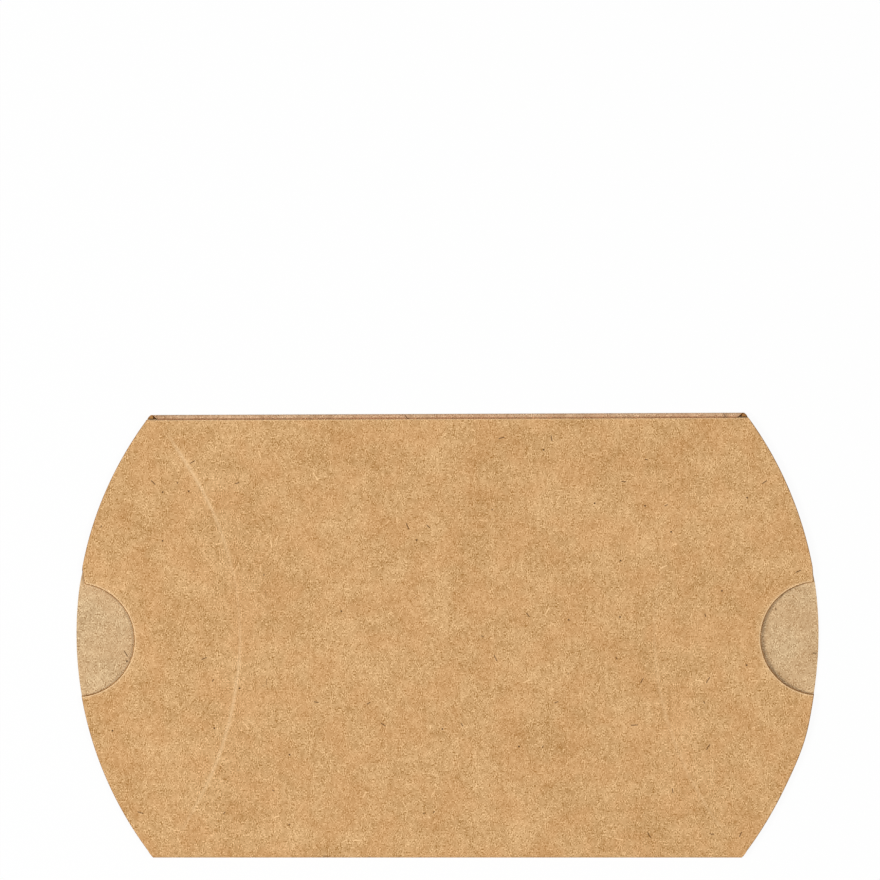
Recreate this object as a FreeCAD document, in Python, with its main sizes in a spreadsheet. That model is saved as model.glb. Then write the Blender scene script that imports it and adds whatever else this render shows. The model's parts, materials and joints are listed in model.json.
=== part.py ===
"""Kraft card pillow box, die-cut, creased, glued along one edge and lying folded flat.

The frame stands at the middle of the box's underside: +X runs along the box, +Y towards the
glued edge, +Z up through the layers. Lengths are in millimetres.
"""
import FreeCAD, Part
import os

import Sketcher

# Driving dimensions of the box
SIZES = {
    "edge_length": 90.0,  # long folded edge, corner to corner
    "flat_width": 67.3,  # flat box, across its two folded edges
    "end_bulge": 11.3,  # how far a rounded end stands past its corners
    "crease_inset": 0.8,  # from a corner to the end of the curved crease
    "crease_depth": 12.8,  # from the ends of the curved crease to its middle
    "nesting_step": 0.6,  # how much further in the back flaps crease, so that they close inside
    "notch_radius": 8.6,  # half-moon thumb notch in the front flaps
    "card_thickness": 0.4,
    "glue_film": 0.05,
    "layer_play": 0.05,  # air under the glue tab when the box lies flat
    "seam_reveal": 0.9,  # strip of the tab that shows past the front panel's raw edge
    "tab_inset": 0.5,  # from a corner to the end of the tab, at the fold
    "tab_depth": 12.0,  # from the folded edge to the tab's raw edge
    "tab_taper": 14.0,  # how far each end of the tab slants in over that depth
    "glue_length": 62.0,
    "glue_width": 6.0,
    "band_gap": 0.2,  # room between two bands of a panel, where the card bends
    "crease_gap": 0.12,  # room between a panel and a flap, along the crease
    "overrun": 1.0,  # how far a cutting block reaches past the card
}

# A panel or flap bends along lines that divide it into this many equal bands
BAND_COUNT = 5

# Heights of the layers, from the surface that the box lies on
BACK_BASE = "0"
TAB_BASE = "(sizes.card_thickness + sizes.layer_play)"
TAB_TOP = f"({TAB_BASE} + sizes.card_thickness)"
FRONT_BASE = f"({TAB_TOP} + sizes.glue_film)"
STACK = f"({FRONT_BASE} + sizes.card_thickness)"

# Distances from the middle of the box
MIDLINE = "0"
HALF_EDGE = "(sizes.edge_length / 2)"
HALF_WIDTH = "(sizes.flat_width / 2)"
BEND_LINE = f"({HALF_WIDTH} - {STACK} / 2)"
RAW_EDGE = f"({HALF_WIDTH} - sizes.seam_reveal)"
END_TIP = f"({HALF_EDGE} + sizes.end_bulge)"
END_RADIUS = f"(({HALF_WIDTH}^2 + sizes.end_bulge^2) / (2 * sizes.end_bulge))"
FRONT_CREASE = f"({HALF_EDGE} - sizes.crease_inset)"
BACK_CREASE = f"({FRONT_CREASE} - sizes.nesting_step)"


class Line:
    """A straight stretch of an outline."""


class Round:
    """An arc of an outline, bulging through a middle point.

    Args:
        middle: the point's two expressions.
        centre: the expression of the arc's centre, along the sketch's first axis.
    """

    def __init__(self, middle, centre):
        self.middle = middle
        self.centre = centre


class Dip:
    """A parabola of an outline, drawn towards a pole on the X axis.

    Args:
        pole: the pole's expression along X.
    """

    def __init__(self, pole):
        self.pole = pole


def minus(expression):
    """Return an expression with its sign turned."""
    return f"(-1 * {expression})"


def make_sheet(doc):
    """Write the driving dimensions to the sheet, one alias to a row."""
    sheet = doc.addObject("Spreadsheet::Sheet", "sizes")
    for row, (alias, value) in enumerate(SIZES.items(), start=1):
        sheet.set(f"A{row}", alias)
        sheet.set(f"B{row}", str(value))
        sheet.setAlias(f"B{row}", alias)
    doc.recompute()
    return sheet


def number(holder, expression):
    """Work out an expression of the sheet as a plain number."""
    return float(holder.evalExpression(expression))


def hold(sketch, geometry, point, corner):
    """Hold one point of a sketch at a corner's expressions, along one axis or both."""
    for kind, axis, expression in zip(("DistanceX", "DistanceY"), (-2, -1), corner):
        value = number(sketch, expression)
        if value == 0:
            sketch.addConstraint(Sketcher.Constraint("PointOnObject", geometry, point, axis))
            continue
        ends = (-1, 1, geometry, point) if value > 0 else (geometry, point, -1, 1)
        index = sketch.addConstraint(Sketcher.Constraint(kind, *ends, abs(value)))
        distance = expression if value > 0 else minus(expression)
        sketch.setExpression(f"Constraints[{index}]", distance)


def draw(sketch, corners, edges):
    """Draw a closed outline, in which each edge runs from its corner to the next one."""
    spots = [FreeCAD.Vector(number(sketch, x), number(sketch, y)) for x, y in corners]
    ends = []
    for n, edge in enumerate(edges):
        start, stop = spots[n], spots[(n + 1) % len(spots)]
        if isinstance(edge, Line):
            index = sketch.addGeometry(Part.LineSegment(start, stop), False)
        elif isinstance(edge, Round):
            middle = FreeCAD.Vector(*(number(sketch, e) for e in edge.middle))
            index = sketch.addGeometry(Part.Arc(start, middle, stop), False)
            hold(sketch, index, 3, (edge.centre,))
        else:
            curve = Part.BSplineCurve()
            pole = FreeCAD.Vector(number(sketch, edge.pole), 0)
            curve.buildFromPolesMultsKnots([start, pole, stop], [3, 3], [0, 1], False, 2)
            index = sketch.addGeometry(curve, False)
            sketch.exposeInternalGeometry(index)
            hold(sketch, index + 2, 3, (edge.pole, MIDLINE))
        forward = sketch.getPoint(index, 1).distanceToPoint(start) < sketch.getPoint(
            index, 2
        ).distanceToPoint(start)
        ends.append((index, 1, 2) if forward else (index, 2, 1))
    for n, (index, first, _) in enumerate(ends):
        before, _, last = ends[n - 1]
        sketch.addConstraint(Sketcher.Constraint("Coincident", before, last, index, first))
        hold(sketch, index, first, corners[n])


def new_sketch(body, name, role):
    """Add a sketch to a body, on one of the body's own origin planes."""
    sketch = body.newObject("Sketcher::SketchObject", name)
    plane = next(f for f in body.Origin.OriginFeatures if f.Role == role)
    sketch.AttachmentSupport = [(plane, "")]
    sketch.MapMode = "FlatFace"
    return sketch


def card_piece(doc, name, base, corners, edges):
    """Cut a flat piece of card to an outline and lay it at the height of its layer."""
    body = doc.addObject("PartDesign::Body", name)
    sketch = new_sketch(body, f"{name}_outline", "XY_Plane")
    draw(sketch, corners, edges)
    pad = body.newObject("PartDesign::Pad", f"{name}_card")
    pad.Profile = sketch
    pad.setExpression("Length", "sizes.card_thickness")
    body.setExpression("Placement.Base.z", base)
    doc.recompute()
    return body


def panel_blank(doc, name, base, crease):
    """Make a whole panel, between its two curved creases."""
    corners = (
        (minus(crease), minus(HALF_WIDTH)),
        (crease, minus(HALF_WIDTH)),
        (crease, HALF_WIDTH),
        (minus(crease), HALF_WIDTH),
    )
    pole = f"({crease} - 2 * sizes.crease_depth)"
    edges = (Line(), Dip(pole), Line(), Dip(minus(pole)))
    return card_piece(doc, name, base, corners, edges)


def flap_blank(doc, name, base, crease):
    """Make a whole right-hand flap, from its crease to the rounded end of the box."""
    root = f"({crease} + sizes.crease_gap)"
    corners = (
        (root, HALF_WIDTH),
        (root, minus(HALF_WIDTH)),
        (HALF_EDGE, minus(HALF_WIDTH)),
        (HALF_EDGE, HALF_WIDTH),
    )
    pole = f"({root} - 2 * sizes.crease_depth)"
    rim = Round((END_TIP, MIDLINE), f"({END_TIP} - {END_RADIUS})")
    return card_piece(doc, name, base, corners, (Dip(pole), Line(), rim, Line()))


def cut_notch(doc, body):
    """Cut the half-moon thumb notch, level with the middle of the front panel."""
    before = body.Shape.Volume
    sketch = new_sketch(body, f"{body.Name}_notch_outline", "XY_Plane")
    middle = (END_TIP, minus("(sizes.seam_reveal / 2)"))
    spot = FreeCAD.Vector(*(number(sketch, e) for e in middle))
    radius = number(sketch, "sizes.notch_radius")
    circle = sketch.addGeometry(Part.Circle(spot, FreeCAD.Vector(0, 0, 1), radius), False)
    bend = sketch.addConstraint(Sketcher.Constraint("Radius", circle, radius))
    sketch.setExpression(f"Constraints[{bend}]", "sizes.notch_radius")
    hold(sketch, circle, 3, middle)
    pocket = body.newObject("PartDesign::Pocket", f"{body.Name}_notch")
    pocket.Profile = sketch
    pocket.Type = "ThroughAll"
    pocket.Reversed = True
    doc.recompute()
    if body.Shape.Volume >= before:
        raise RuntimeError(f"{pocket.Name} cuts nothing")


def mirrored(doc, source, name):
    """Mirror a piece to the left-hand end of the box."""
    twin = doc.addObject("Part::Mirroring", name)
    twin.Source = source
    twin.Base = FreeCAD.Vector(0, 0, 0)
    twin.Normal = FreeCAD.Vector(1, 0, 0)
    return twin


def band_blocks(doc, layer, base, last_edge):
    """Make one cutting block for each band of a layer, with room to bend between them."""
    width = f"(2 * {BEND_LINE} / {BAND_COUNT})"
    blocks = []
    for n in range(BAND_COUNT):
        low = minus(BEND_LINE) if n == 0 else f"({n} * {width} - {BEND_LINE} + sizes.band_gap / 2)"
        high = f"({n + 1} * {width} - {BEND_LINE} - sizes.band_gap / 2)"
        if n == BAND_COUNT - 1:
            high = last_edge
        block = doc.addObject("Part::Box", f"{layer}_band_block_{n + 1}")
        block.setExpression("Length", f"2 * ({END_TIP} + sizes.overrun)")
        block.setExpression("Width", f"{high} - {low}")
        block.setExpression("Height", "sizes.card_thickness + 2 * sizes.overrun")
        block.setExpression("Placement.Base.x", f"-1 * ({END_TIP} + sizes.overrun)")
        block.setExpression("Placement.Base.y", low)
        block.setExpression("Placement.Base.z", f"{base} - sizes.overrun")
        blocks.append(block)
    return blocks


def bands(doc, blank, blocks, name):
    """Divide a panel or flap into its bands, numbered from the plain fold to the glued one."""
    pieces = []
    for n, block in enumerate(blocks, start=1):
        piece = doc.addObject("Part::Common", f"{name}_band_{n}")
        piece.Base = blank
        piece.Tool = block
        pieces.append(piece)
    return pieces


def fold(doc, name, corners, edges, length):
    """Run the section of a folded edge along the box."""
    body = doc.addObject("PartDesign::Body", name)
    sketch = new_sketch(body, f"{name}_section", "YZ_Plane")
    draw(sketch, corners, edges)
    pad = body.newObject("PartDesign::Pad", f"{name}_run")
    pad.Profile = sketch
    pad.SideType = "Symmetric"
    pad.setExpression("Length", length)
    return body


def bottom_fold(doc):
    """Turn the card from the back panel round to the front panel, at the plain edge."""
    edge = minus(BEND_LINE)
    outer = f"({STACK} / 2)"
    inner = f"({outer} - sizes.card_thickness)"
    corners = (
        (edge, BACK_BASE),
        (edge, "sizes.card_thickness"),
        (edge, FRONT_BASE),
        (edge, STACK),
    )
    edges = (
        Line(),
        Round((f"({edge} - {inner})", outer), edge),
        Line(),
        Round((f"({edge} - {outer})", outer), edge),
    )
    return fold(doc, "bottom_fold", corners, edges, "sizes.edge_length")


def top_fold(doc):
    """Turn the card from the back panel round to the glue tab, at the glued edge."""
    outer = f"({TAB_TOP} / 2)"
    inner = "(sizes.layer_play / 2)"
    turn = f"({HALF_WIDTH} - {outer})"
    corners = (
        (BEND_LINE, BACK_BASE),
        (turn, BACK_BASE),
        (turn, TAB_TOP),
        (BEND_LINE, TAB_TOP),
        (BEND_LINE, TAB_BASE),
        (turn, TAB_BASE),
        (turn, "sizes.card_thickness"),
        (BEND_LINE, "sizes.card_thickness"),
    )
    edges = (
        Line(),
        Round((HALF_WIDTH, outer), turn),
        Line(),
        Line(),
        Line(),
        Round((f"({turn} + {inner})", outer), turn),
        Line(),
        Line(),
    )
    return fold(doc, "top_fold", corners, edges, "sizes.edge_length - 2 * sizes.tab_inset")


def glue_tab(doc):
    """Make the tapered tab that lies under the front panel's raw edge."""
    wide = f"({HALF_EDGE} - sizes.tab_inset)"
    narrow = f"({wide} - sizes.tab_taper)"
    low = f"({HALF_WIDTH} - sizes.tab_depth)"
    corners = (
        (minus(narrow), low),
        (narrow, low),
        (wide, BEND_LINE),
        (minus(wide), BEND_LINE),
    )
    return card_piece(doc, "glue_tab", TAB_BASE, corners, (Line(), Line(), Line(), Line()))


def glue_line(doc):
    """Lay the film of glue between the tab and the front panel."""
    film = doc.addObject("Part::Box", "glue_line")
    film.setExpression("Length", "sizes.glue_length")
    film.setExpression("Width", "sizes.glue_width")
    film.setExpression("Height", "sizes.glue_film")
    film.setExpression("Placement.Base.x", "-1 * sizes.glue_length / 2")
    overlap_middle = f"({HALF_WIDTH} - (sizes.tab_depth + sizes.seam_reveal) / 2)"
    film.setExpression("Placement.Base.y", f"{overlap_middle} - sizes.glue_width / 2")
    film.setExpression("Placement.Base.z", TAB_TOP)
    return film


def layer_pieces(doc, layer, base, crease, last_edge, notched):
    """Make the bands of one layer: its panel and the flap at each end."""
    blocks = band_blocks(doc, layer, base, last_edge)
    panel = panel_blank(doc, f"{layer}_panel_blank", base, crease)
    right = flap_blank(doc, f"{layer}_flap_blank", base, crease)
    if notched:
        cut_notch(doc, right)
    left = mirrored(doc, right, f"{layer}_left_flap_blank")
    return [
        *bands(doc, panel, blocks, f"{layer}_panel"),
        *bands(doc, left, blocks, f"{layer}_left_flap"),
        *bands(doc, right, blocks, f"{layer}_right_flap"),
    ]


def check(doc, pieces):
    """Stop if an object failed, or a piece isn't one sound solid."""
    doc.recompute()
    failed = [o.Name for o in doc.Objects if {"Invalid", "Error"} & set(o.State)]
    if failed:
        raise RuntimeError(f"not built: {failed}")
    for piece in pieces:
        shape = piece.Shape
        if shape.isNull() or not shape.isValid() or len(shape.Solids) != 1:
            raise RuntimeError(f"{piece.Label} is not one sound solid")


def main():
    """Build the box and write each piece to its own file."""
    doc = FreeCAD.newDocument("pillow_box")
    make_sheet(doc)
    pieces = [
        *layer_pieces(doc, "back", BACK_BASE, BACK_CREASE, BEND_LINE, notched=False),
        *layer_pieces(doc, "front", FRONT_BASE, FRONT_CREASE, RAW_EDGE, notched=True),
        bottom_fold(doc),
        top_fold(doc),
        glue_tab(doc),
        glue_line(doc),
    ]
    check(doc, pieces)
    os.makedirs("parts", exist_ok=True)
    for piece in pieces:
        piece.Shape.exportStep(f"parts/{piece.Label}.step")
        print(f"{piece.Label}: {piece.Shape.Volume:.3f} cubic mm")


main()
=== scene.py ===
"""Looks of a flat-packed pillow box of brown kraft card.

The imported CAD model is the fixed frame. Each stretch of card is drawn again as thin closed stock,
with its cut edges, score lines and grain, and bends with the frame's bodies.
"""

import json
import logging
import math
from collections.abc import Callable
from dataclasses import dataclass, replace
from enum import Enum
from typing import Any

import bpy
import numpy as np
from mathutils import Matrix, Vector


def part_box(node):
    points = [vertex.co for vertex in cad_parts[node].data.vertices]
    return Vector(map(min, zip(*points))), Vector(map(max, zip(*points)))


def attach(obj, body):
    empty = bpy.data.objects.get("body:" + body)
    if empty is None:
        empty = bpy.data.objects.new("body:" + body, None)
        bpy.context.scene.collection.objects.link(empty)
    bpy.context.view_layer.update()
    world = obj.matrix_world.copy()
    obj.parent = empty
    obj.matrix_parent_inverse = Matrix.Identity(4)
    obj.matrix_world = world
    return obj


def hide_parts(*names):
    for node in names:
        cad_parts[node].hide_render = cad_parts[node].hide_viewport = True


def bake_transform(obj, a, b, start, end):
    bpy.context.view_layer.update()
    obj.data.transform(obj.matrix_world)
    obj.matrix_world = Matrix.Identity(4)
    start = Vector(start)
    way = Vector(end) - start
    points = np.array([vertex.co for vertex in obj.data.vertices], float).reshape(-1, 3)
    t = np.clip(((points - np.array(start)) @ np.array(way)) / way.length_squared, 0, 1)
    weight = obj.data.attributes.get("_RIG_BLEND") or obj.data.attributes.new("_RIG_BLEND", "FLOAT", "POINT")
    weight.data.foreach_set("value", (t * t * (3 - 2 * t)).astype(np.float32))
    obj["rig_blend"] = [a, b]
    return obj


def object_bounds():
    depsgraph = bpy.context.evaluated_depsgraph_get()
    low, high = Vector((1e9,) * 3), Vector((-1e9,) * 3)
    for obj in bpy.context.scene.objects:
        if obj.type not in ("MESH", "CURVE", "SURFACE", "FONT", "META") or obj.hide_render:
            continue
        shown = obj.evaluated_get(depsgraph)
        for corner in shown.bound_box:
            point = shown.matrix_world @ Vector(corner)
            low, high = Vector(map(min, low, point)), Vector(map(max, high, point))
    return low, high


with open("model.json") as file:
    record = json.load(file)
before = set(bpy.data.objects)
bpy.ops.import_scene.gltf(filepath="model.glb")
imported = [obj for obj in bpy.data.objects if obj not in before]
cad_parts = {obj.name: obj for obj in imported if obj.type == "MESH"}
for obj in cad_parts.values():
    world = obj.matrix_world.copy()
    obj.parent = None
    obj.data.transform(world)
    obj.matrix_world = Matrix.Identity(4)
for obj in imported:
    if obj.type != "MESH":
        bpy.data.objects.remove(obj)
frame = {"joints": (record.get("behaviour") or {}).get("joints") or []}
CAD_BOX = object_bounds()

MM = 0.001
LOG = logging.getLogger("pillow_box")

REST_MAP = "rest"
SCORE = "score"
# The worn mark lightens cut edges: partly real bare-fibre wear, partly a painted highlight along the notch
# rims and the front's raw edge.
WORN_AND_HIGHLIGHT = "worn"
TO_OUTSIDE = "to_outside"
INSIDE_FACE = "inside_face"
CUT_FACE = "cut_face"
IN_MM = (1 / MM,) * 3
GRAIN_HEIGHT = 0.03 * MM

Colour = tuple[float, float, float]


def linear(colour: Colour) -> tuple[float, float, float, float]:
    """Turn a display colour into the linear colour that a shader takes.

    Args:
        colour: Red, green and blue from 0 to 255.

    Returns:
        Linear red, green, blue and an alpha of 1.
    """
    shares = (c / 255 for c in colour)
    return (*(s / 12.92 if s <= 0.04045 else ((s + 0.055) / 1.055) ** 2.4 for s in shares), 1.0)


def smooth(share: np.ndarray) -> np.ndarray:
    """Ease from 0 to 1 with level ends.

    Args:
        share: Values that are clipped to between 0 and 1.

    Returns:
        The eased values.
    """
    t = np.clip(share, 0, 1)
    return t * t * (3 - 2 * t)


def bell(offset: np.ndarray, width: float) -> np.ndarray:
    """Fall from 1 on a line towards 0.

    Args:
        offset: Distances from the line.
        width: The distance at which about a third is left.

    Returns:
        The share that is left at each distance.
    """
    return np.exp(-((offset / width) ** 2))


def joint(name: str) -> dict[str, Any]:
    """Find a joint of the frame.

    Args:
        name: The joint's name.

    Returns:
        The joint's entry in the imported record.
    """
    return next(j for j in frame["joints"] if j["name"] == name)


def travel(name: str) -> float:
    """Give a hinge's whole travel.

    Args:
        name: The joint's name.

    Returns:
        The angle between its two limits, in radians.
    """
    low, high = joint(name)["range_deg"]
    return math.radians(high - low)


class Choice(Enum):
    """A choice whose word stands in the names of pieces and bodies."""

    @property
    def word(self) -> str:
        """The word for it."""
        return self.name.lower()


class Layer(Choice):
    """The two sheets that lie on each other in the flat box, with the sign of Z on their outsides."""

    BACK = -1
    FRONT = 1


class End(Choice):
    """The two ends of the box, with the sign of X there."""

    LEFT = -1
    RIGHT = 1


class Stretch(Choice):
    """The four stretches of a sheet, each one bending about the hinge line of this number."""

    LOWER_EDGE = 1
    LOWER_MIDDLE = 2
    UPPER_MIDDLE = 3
    UPPER_EDGE = 4


def maths_operator(operation: str, swapped: bool = False) -> Callable[["Socket", Any], "Socket"]:
    """Make an operator that adds a Math node.

    Args:
        operation: The node's operation.
        swapped: Whether the other value comes first.

    Returns:
        The operator, as a method of the Socket class.
    """

    def apply(self: "Socket", other: Any) -> "Socket":
        """Add the node for this output and another output or number."""
        first, second = (other, self) if swapped else (self, other)
        return self.maker.node("ShaderNodeMath", {"operation": operation}, {0: first, 1: second})

    return apply


class Socket:
    """A node's output that takes part in Python expressions."""

    __add__ = maths_operator("ADD")
    __radd__ = maths_operator("ADD", swapped=True)
    __sub__ = maths_operator("SUBTRACT")
    __mul__ = maths_operator("MULTIPLY")
    __rmul__ = maths_operator("MULTIPLY", swapped=True)

    def __init__(self, maker: "NodeMaker", link: bpy.types.NodeSocket) -> None:
        """Keep the tree's maker and the output."""
        self.maker = maker
        self.link = link

    def __abs__(self) -> "Socket":
        """Size without sign."""
        return self.maker.node("ShaderNodeMath", {"operation": "ABSOLUTE"}, {0: self})

    def other(self, name: str) -> "Socket":
        """Another output of the same node."""
        return Socket(self.maker, self.link.node.outputs[name])


class NodeMaker:
    """Adds nodes to a shader or geometry tree.

    The sockets of a Mix node go by number, because it has the same names for each kind of value.
    """

    MIX_SHARE = 0
    MIX_FIRST_COLOUR = 6
    MIX_SECOND_COLOUR = 7
    MIXED_COLOUR = 2

    def __init__(self, tree: bpy.types.NodeTree) -> None:
        """Keep the tree."""
        self.tree = tree

    def put(self, socket: bpy.types.NodeSocket, value: Any) -> None:
        """Link an input, or set it to a plain value.

        Args:
            socket: The input.
            value: A number, a colour or the like, or the output to link.
        """
        if isinstance(value, Socket):
            self.tree.links.new(value.link, socket)
        else:
            socket.default_value = value

    def node(
        self,
        kind: str,
        settings: dict[str, Any] | None = None,
        sockets: dict[str | int, Any] | None = None,
        output: str | int = 0,
    ) -> Socket:
        """Add one node.

        Args:
            kind: The node's type.
            settings: The node's own settings, set first.
            sockets: Values or links of its inputs, by name or number. A list links each of its items.
            output: The output that is wanted.

        Returns:
            That output.
        """
        made = self.tree.nodes.new(kind)
        for name, value in (settings or {}).items():
            setattr(made, name, value)
        for key, value in (sockets or {}).items():
            for item in value if isinstance(value, list) else [value]:
                self.put(made.inputs[key], item)
        return Socket(self, made.outputs[output] if made.outputs else None)

    def vector(self, operation: str, *values: Any) -> Socket:
        """Add a Vector Math node, with its values in the order of its inputs."""
        return self.node("ShaderNodeVectorMath", {"operation": operation}, dict(enumerate(values)))

    def noise(self, place: Socket, scale: float, detail: float, roughness: float = 0.5) -> Socket:
        """Add a noise centred on zero.

        Args:
            place: Where to read it.
            scale: Features to a millimetre.
            detail: Octaves above the first.
            roughness: Strength of those octaves.

        Returns:
            A value from about -0.5 to 0.5.
        """
        field = self.node(
            "ShaderNodeTexNoise",
            {"noise_dimensions": "2D"},
            {"Vector": place, "Scale": scale, "Detail": detail, "Roughness": roughness},
        )
        return field - 0.5

    def cells(self, place: Socket, scale: float) -> Socket:
        """Add irregular cells, and give the distance from the nearest one's middle, in cells."""
        sockets = {"Vector": place, "Scale": scale}
        return self.node("ShaderNodeTexVoronoi", {"voronoi_dimensions": "2D"}, sockets)

    def step(self, value: Socket, low: float, high: float) -> Socket:
        """Add a soft step from 0 at the first limit to 1 at the second, which may be the lower."""
        ends = {"Value": value, "From Min": low, "From Max": high}
        return self.node("ShaderNodeMapRange", {"interpolation_type": "SMOOTHSTEP"}, ends)

    def mix(self, share: Any, first: Any, second: Any) -> Socket:
        """Mix two colours.

        Args:
            share: How much of the second colour is taken.
            first: The first colour.
            second: The second colour.

        Returns:
            The mixed colour.
        """
        settings = {"data_type": "RGBA", "clamp_factor": True}
        sockets = {
            self.MIX_SHARE: share,
            self.MIX_FIRST_COLOUR: first,
            self.MIX_SECOND_COLOUR: second,
        }
        return self.node("ShaderNodeMix", settings, sockets, self.MIXED_COLOUR)

    def mix_shaders(self, share: Socket, first: Socket, second: Socket) -> Socket:
        """Mix two shaders by a share of the second."""
        return self.node("ShaderNodeMixShader", None, {0: share, 1: first, 2: second})

    def bump(self, height: Socket, strength: float) -> Socket:
        """Turn the height of the grain into a bent normal."""
        sockets = {"Strength": strength, "Distance": GRAIN_HEIGHT, "Height": height}
        return self.node("ShaderNodeBump", None, sockets)


class NodeMaterial:
    """A new node material, with the maker of its nodes and its main shader."""

    def __init__(self, name: str) -> None:
        """Start the material.

        Args:
            name: The material's name.
        """
        self.material = bpy.data.materials.new(name)
        self.material.use_nodes = True
        self.make = NodeMaker(self.material.node_tree)
        self.shader = self.material.node_tree.nodes["Principled BSDF"]

    def feed(self, inputs: dict[str, Any]) -> bpy.types.Material:
        """Link or set inputs of the main shader.

        Args:
            inputs: Values or links, by the input's name.

        Returns:
            The material.
        """
        for name, value in inputs.items():
            self.make.put(self.shader.inputs[name], value)
        return self.material


@dataclass(frozen=True)
class Fibres:
    """Short curved fibres along the level lines of a noise.

    The scale counts bends to a millimetre. The half width is in the noise's own units, and a fibre
    shows where a second, finer noise is above the level to keep.
    """

    scale: float
    half_width: float = 0.06
    core: float = 0.3
    finer: float = 1.7
    keep: float = 0.05
    keep_blur: float = 0.06

    def draw(self, make: NodeMaker, place: Socket) -> Socket:
        """Draw the fibres.

        Args:
            make: The material's node maker.
            place: Where on the card, in millimetres.

        Returns:
            1 on a fibre and 0 beside it.
        """
        level = abs(make.noise(place, self.scale, detail=1.0))
        line = make.step(level, self.half_width, self.core * self.half_width)
        chance = make.noise(place, self.finer * self.scale, detail=0.0)
        return line * make.step(chance, self.keep, self.keep + self.keep_blur)


@dataclass(frozen=True)
class Hairs:
    """Single curved hairs, strewn over the card, each at its own angle.

    The scale counts places for a hair to a millimetre, and a share of them stays empty. Half the
    longest hair's length and half its width are in millimetres.
    """

    scale: float
    half_length: float
    half_width: float
    empty: float
    shorter: float = 0.7
    curl: float = 0.25
    side_core: float = 0.7
    end_core: float = 0.85
    empty_blur: float = 0.01

    def draw(self, make: NodeMaker, place: Socket) -> Socket:
        """Draw the hairs.

        Args:
            make: The material's node maker.
            place: Where on the card, in millimetres.

        Returns:
            1 on a hair and 0 beside it.
        """
        cells = make.cells(place, self.scale)
        own = make.node("ShaderNodeSeparateColor", None, {"Color": cells.other("Color")})
        away = make.vector("SUBTRACT", place, cells.other("Position"))
        turned = make.node(
            "ShaderNodeVectorRotate",
            {"rotation_type": "Z_AXIS"},
            {"Vector": away, "Angle": own * math.tau},
        )
        along = make.node("ShaderNodeSeparateXYZ", None, {"Vector": turned})
        to_end = abs(along) + self.shorter * self.half_length * own.other("Blue")
        to_side = abs(along.other("Y") + self.curl * (own - 0.5) * along * along)
        hair = make.step(to_side, self.half_width, self.side_core * self.half_width)
        hair = hair * make.step(to_end, self.half_length, self.end_core * self.half_length)
        return hair * make.step(own.other("Green"), self.empty, self.empty + self.empty_blur)


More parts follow.
